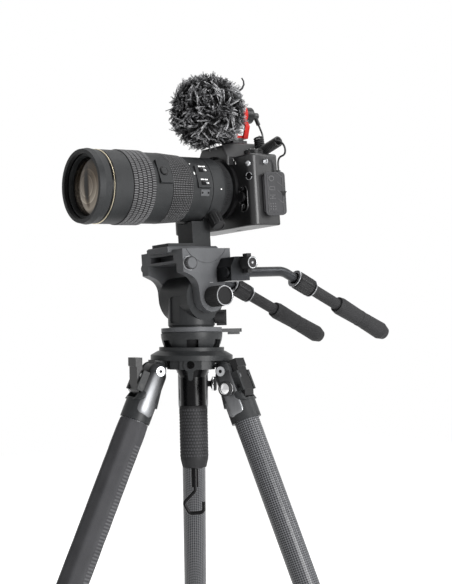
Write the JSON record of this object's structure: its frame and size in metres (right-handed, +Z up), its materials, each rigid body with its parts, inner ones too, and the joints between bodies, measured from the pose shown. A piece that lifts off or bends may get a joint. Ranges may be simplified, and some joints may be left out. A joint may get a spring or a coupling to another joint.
{
  "type": "camera on tripod",
  "caption": "Digital reflex camera with telephoto lens and furry microphone on a tilting fluid head with handles, levelling column and folding tripod with telescopic legs.",
  "frame": {"origin": "on the floor under the tripod's axis", "axes": "+Z up; the lens points along -Y; +X is the camera's own left side"},
  "size_m": [0.5534, 0.5898, 0.9567],
  "materials": {
    "black_casting": "satin crinkle",
    "charcoal_paint": "satin",
    "satin_metal": "satin",
    "polished_steel": "polished",
    "carbon_tube": "clear coat over weave",
    "black_plastic": "fine grain",
    "black_gloss": "gloss",
    "black_rubber": "moulded",
    "foam": "open cell",
    "fur": "long pile",
    "glass": "coated",
    "red_plastic": "moulded",
    "grey_rubber": "moulded",
    "screen": "gloss"
  },
  "bodies": {
    "shoulder": {"shoulder_casting": "black_casting", "leg_pivot_bolts": "polished_steel"},
    "left_leg": {"left_leg_yoke": "satin_metal", "left_leg_tube": "carbon_tube", "left_leg_foam": "foam"},
    "left_latch": {"left_leg_latch": "black_plastic"},
    "left_knob": {"left_leg_knob": "polished_steel"},
    "left_collar": {"left_leg_collar": "black_rubber"},
    "left_lower": {"left_leg_lower": "carbon_tube"},
    "right_leg": {"right_leg_yoke": "satin_metal", "right_leg_tube": "carbon_tube"},
    "right_latch": {"right_leg_latch": "black_plastic"},
    "right_knob": {"right_leg_knob": "polished_steel"},
    "right_collar": {"right_leg_collar": "black_rubber"},
    "right_lower": {"right_leg_lower": "carbon_tube"},
    "rear_leg": {"rear_leg_yoke": "satin_metal", "rear_leg_tube": "carbon_tube"},
    "rear_latch": {"rear_leg_latch": "black_plastic"},
    "rear_knob": {"rear_leg_knob": "polished_steel"},
    "rear_collar": {"rear_leg_collar": "black_rubber"},
    "rear_lower": {"rear_leg_lower": "carbon_tube"},
    "liner": {"levelling_liner": "black_plastic"},
    "levelling": {"levelling_bowl": "black_casting", "levelling_column": "black_gloss", "pan_base": "charcoal_paint"},
    "column_grip": {"column_grip": "black_rubber"},
    "hook": {"weight_hook": "polished_steel"},
    "pan_lever": {"pan_lever": "black_plastic"},
    "trunk": {"head_trunk": "black_casting"},
    "pan_drag": {"pan_drag_knob": "black_plastic"},
    "cradle": {"tilt_cradle": "charcoal_paint"},
    "tilt_drag": {"tilt_drag_knob": "black_plastic"},
    "plate_lock": {"plate_lock_knob": "black_plastic"},
    "plate": {"camera_plate": "charcoal_paint", "lens_collar": "charcoal_paint"},
    "near_handle": {"near_handle_arm": "black_casting"},
    "near_knob": {"near_handle_knob": "black_plastic"},
    "near_collar": {"near_handle_collar": "black_plastic"},
    "near_grip": {"near_handle_grip": "black_rubber"},
    "far_handle": {"far_handle_arm": "black_casting"},
    "far_knob": {"far_handle_knob": "black_plastic"},
    "far_collar": {"far_handle_collar": "black_plastic"},
    "far_grip": {"far_handle_grip": "black_rubber"},
    "collar_knob": {"collar_knob": "black_plastic"},
    "camera": {"lens_barrel": "charcoal_paint", "front_element": "glass", "camera_body": "black_plastic", "rear_screen": "screen", "windscreen": "fur", "mic_body": "black_plastic", "shock_mount": "red_plastic", "shoe_foot": "black_plastic", "cable_plugs": "black_plastic", "mic_cable": "black_plastic"},
    "focus_ring": {"focus_ring": "black_rubber"},
    "zoom_ring": {"zoom_ring": "black_rubber"},
    "mode_dial": {"mode_dial": "black_plastic"},
    "shutter_button": {"shutter_button": "black_plastic"},
    "release_button": {"release_button": "black_plastic"},
    "port_cover": {"port_cover": "grey_rubber"}
  },
  "joints": [
    {"name": "left_leg_spread", "type": "hinge", "parent": "shoulder", "child": "left_leg", "pos_m": [-0.00724, -0.05149, 0.58912], "axis": [-0.9903, 0.1392, 0], "range_deg": [-21, 0]},
    {"name": "left_latch_pull", "type": "hinge", "parent": "left_leg", "child": "left_latch", "pos_m": [-0.01034, -0.07354, 0.5725], "axis": [0.9903, -0.1392, 0], "range_deg": [-24, 0]},
    {"name": "left_knob_turn", "type": "hinge", "parent": "left_leg", "child": "left_knob", "pos_m": [-0.00878, -0.06248, 0.56939], "axis": [-0.9903, 0.1392, 0], "range_deg": [0, 180]},
    {"name": "left_collar_twist", "type": "hinge", "parent": "left_leg", "child": "left_collar", "pos_m": [-0.03704, -0.26353, 0.08469], "axis": [-0.0544, -0.3869, -0.9205], "range_deg": [0, 90]},
    {"name": "left_lower_slide", "type": "slide", "parent": "left_leg", "child": "left_lower", "axis": [-0.0544, -0.3869, -0.9205], "range_m": [0, 0.4]},
    {"name": "right_leg_spread", "type": "hinge", "parent": "shoulder", "child": "right_leg", "pos_m": [0.04821, 0.01948, 0.58912], "axis": [0.3746, -0.9272, 0], "range_deg": [-21, 0]},
    {"name": "right_latch_pull", "type": "hinge", "parent": "right_leg", "child": "right_latch", "pos_m": [0.06886, 0.02782, 0.5725], "axis": [-0.3746, 0.9272, 0], "range_deg": [0, 24]},
    {"name": "right_knob_turn", "type": "hinge", "parent": "right_leg", "child": "right_knob", "pos_m": [0.0585, 0.02363, 0.56939], "axis": [0.3746, -0.9272, 0], "range_deg": [0, 180]},
    {"name": "right_collar_twist", "type": "hinge", "parent": "right_leg", "child": "right_collar", "pos_m": [0.24674, 0.09969, 0.08469], "axis": [0.3623, 0.1464, -0.9205], "range_deg": [0, 90]},
    {"name": "right_lower_slide", "type": "slide", "parent": "right_leg", "child": "right_lower", "axis": [0.3623, 0.1464, -0.9205], "range_m": [0, 0.4]},
    {"name": "rear_leg_spread", "type": "hinge", "parent": "shoulder", "child": "rear_leg", "pos_m": [-0.04098, 0.03201, 0.58912], "axis": [0.6157, 0.788, 0], "range_deg": [-21, 0]},
    {"name": "rear_latch_pull", "type": "hinge", "parent": "rear_leg", "child": "rear_latch", "pos_m": [-0.05852, 0.04572, 0.5725], "axis": [-0.6157, -0.788, 0], "range_deg": [0, 24]},
    {"name": "rear_knob_turn", "type": "hinge", "parent": "rear_leg", "child": "rear_knob", "pos_m": [-0.04972, 0.03884, 0.56939], "axis": [0.6157, 0.788, 0], "range_deg": [0, 180]},
    {"name": "rear_collar_twist", "type": "hinge", "parent": "rear_leg", "child": "rear_collar", "pos_m": [-0.20971, 0.16384, 0.08469], "axis": [-0.3079, 0.2406, -0.9205], "range_deg": [0, 90]},
    {"name": "rear_lower_slide", "type": "slide", "parent": "rear_leg", "child": "rear_lower", "axis": [-0.3079, 0.2406, -0.9205], "range_m": [0, 0.4]},
    {"name": "level_fore_aft", "type": "hinge", "parent": "shoulder", "child": "liner", "pos_m": [0, 0, 0.63412], "axis": [1, 0, 0], "range_deg": [-7, 7]},
    {"name": "level_side", "type": "hinge", "parent": "liner", "child": "levelling", "pos_m": [0, 0, 0.63412], "axis": [0, 1, 0], "range_deg": [-7, 7]},
    {"name": "grip_twist", "type": "hinge", "parent": "levelling", "child": "column_grip", "pos_m": [0.00338, 0, 0.54619], "axis": [-0.0384, 0, 0.9993], "range_deg": [0, 180]},
    {"name": "hook_swivel", "type": "hinge", "parent": "levelling", "child": "hook", "pos_m": [0.0063, 0, 0.47024], "axis": [-0.0384, 0, 0.9993], "continuous": true},
    {"name": "pan_lever_swing", "type": "hinge", "parent": "levelling", "child": "pan_lever", "pos_m": [0.0126, 0.02832, 0.63461], "axis": [-0.0384, 0, 0.9993], "range_deg": [0, 45]},
    {"name": "pan", "type": "hinge", "parent": "levelling", "child": "trunk", "pos_m": [0, 0, 0.63412], "axis": [-0.0384, 0, 0.9993], "continuous": true},
    {"name": "pan_drag_turn", "type": "hinge", "parent": "trunk", "child": "pan_drag", "pos_m": [0.01994, 0.02065, 0.6529], "axis": [0.7066, 0.7071, 0.0271], "range_deg": [0, 180]},
    {"name": "tilt", "type": "hinge", "parent": "trunk", "child": "cradle", "pos_m": [-0.00161, 0, 0.67609], "axis": [0.9993, 0, 0.0384], "range_deg": [-45, 60]},
    {"name": "tilt_drag_turn", "type": "hinge", "parent": "cradle", "child": "tilt_drag", "pos_m": [0.04186, 0, 0.67776], "axis": [0.9993, 0, 0.0384], "range_deg": [0, 180]},
    {"name": "plate_lock_turn", "type": "hinge", "parent": "cradle", "child": "plate_lock", "pos_m": [0.04026, -0.03337, 0.7167], "axis": [0.9993, 0, 0.0384], "range_deg": [0, 180]},
    {"name": "plate_slide", "type": "slide", "parent": "cradle", "child": "plate", "axis": [-0.0018, 0.9989, 0.0471], "range_m": [-0.015, 0.015]},
    {"name": "near_handle_swing", "type": "hinge", "parent": "cradle", "child": "near_handle", "pos_m": [0.04041, 0.02237, 0.71283], "axis": [-0.9993, 0, -0.0384], "range_deg": [-30, 30]},
    {"name": "near_knob_turn_clamp", "type": "hinge", "parent": "near_handle", "child": "near_knob", "pos_m": [0.06786, 0.02822, 0.71716], "axis": [0.9993, 0, 0.0384], "range_deg": [0, 180]},
    {"name": "near_handle_collar_twist", "type": "hinge", "parent": "near_handle", "child": "near_collar", "pos_m": [0.05913, 0.09562, 0.70999], "axis": [0.0156, 0.9143, -0.4048], "range_deg": [0, 90]},
    {"name": "near_grip_slide", "type": "slide", "parent": "near_handle", "child": "near_grip", "axis": [0.0156, 0.9143, -0.4048], "range_m": [0, 0.06]},
    {"name": "far_handle_swing", "type": "hinge", "parent": "cradle", "child": "far_handle", "pos_m": [-0.04633, 0.02237, 0.70949], "axis": [-0.9993, 0, -0.0384], "range_deg": [-30, 30]},
    {"name": "far_knob_turn_clamp", "type": "hinge", "parent": "far_handle", "child": "far_knob", "pos_m": [-0.07403, 0.02822, 0.71171], "axis": [-0.9993, 0, -0.0384], "range_deg": [0, 180]},
    {"name": "far_handle_collar_twist", "type": "hinge", "parent": "far_handle", "child": "far_collar", "pos_m": [-0.06478, 0.09562, 0.70523], "axis": [0.0156, 0.9143, -0.4048], "range_deg": [0, 90]},
    {"name": "far_grip_slide", "type": "slide", "parent": "far_handle", "child": "far_grip", "axis": [0.0156, 0.9143, -0.4048], "range_m": [0, 0.06]},
    {"name": "collar_knob_turn", "type": "hinge", "parent": "plate", "child": "collar_knob", "pos_m": [0.0186, 0.01878, 0.77753], "axis": [0.6046, 0.0386, -0.7956], "range_deg": [0, 180]},
    {"name": "camera_roll", "type": "hinge", "parent": "plate", "child": "camera", "pos_m": [-0.00678, 0.00867, 0.81055], "axis": [0.0018, -0.9989, -0.0471], "range_deg": [-45, 45]},
    {"name": "focus", "type": "hinge", "parent": "camera", "child": "focus_ring", "pos_m": [-0.00657, -0.1087, 0.80502], "axis": [-0.0018, 0.9989, 0.0471], "range_deg": [-60, 60]},
    {"name": "zoom", "type": "hinge", "parent": "camera", "child": "zoom_ring", "pos_m": [-0.00667, -0.05326, 0.80763], "axis": [-0.0018, 0.9989, 0.0471], "range_deg": [-40, 40]},
    {"name": "mode_dial_turn", "type": "hinge", "parent": "camera", "child": "mode_dial", "pos_m": [0.03762, 0.06681, 0.85307], "axis": [-0.0383, -0.0471, 0.9982], "continuous": true},
    {"name": "shutter_press", "type": "slide", "parent": "camera", "child": "shutter_button", "axis": [0.0383, 0.0471, -0.9982], "range_m": [0, 0.0012], "stiffness_N_per_m": 600},
    {"name": "release_press", "type": "slide", "parent": "camera", "child": "release_button", "axis": [-0.0018, 0.9989, 0.0471], "range_m": [0, 0.002], "stiffness_N_per_m": 500},
    {"name": "port_cover_swing", "type": "hinge", "parent": "camera", "child": "port_cover", "pos_m": [0.05877, 0.06561, 0.81576], "axis": [0.0383, 0.0471, -0.9982], "range_deg": [0, 90]}
  ]
}
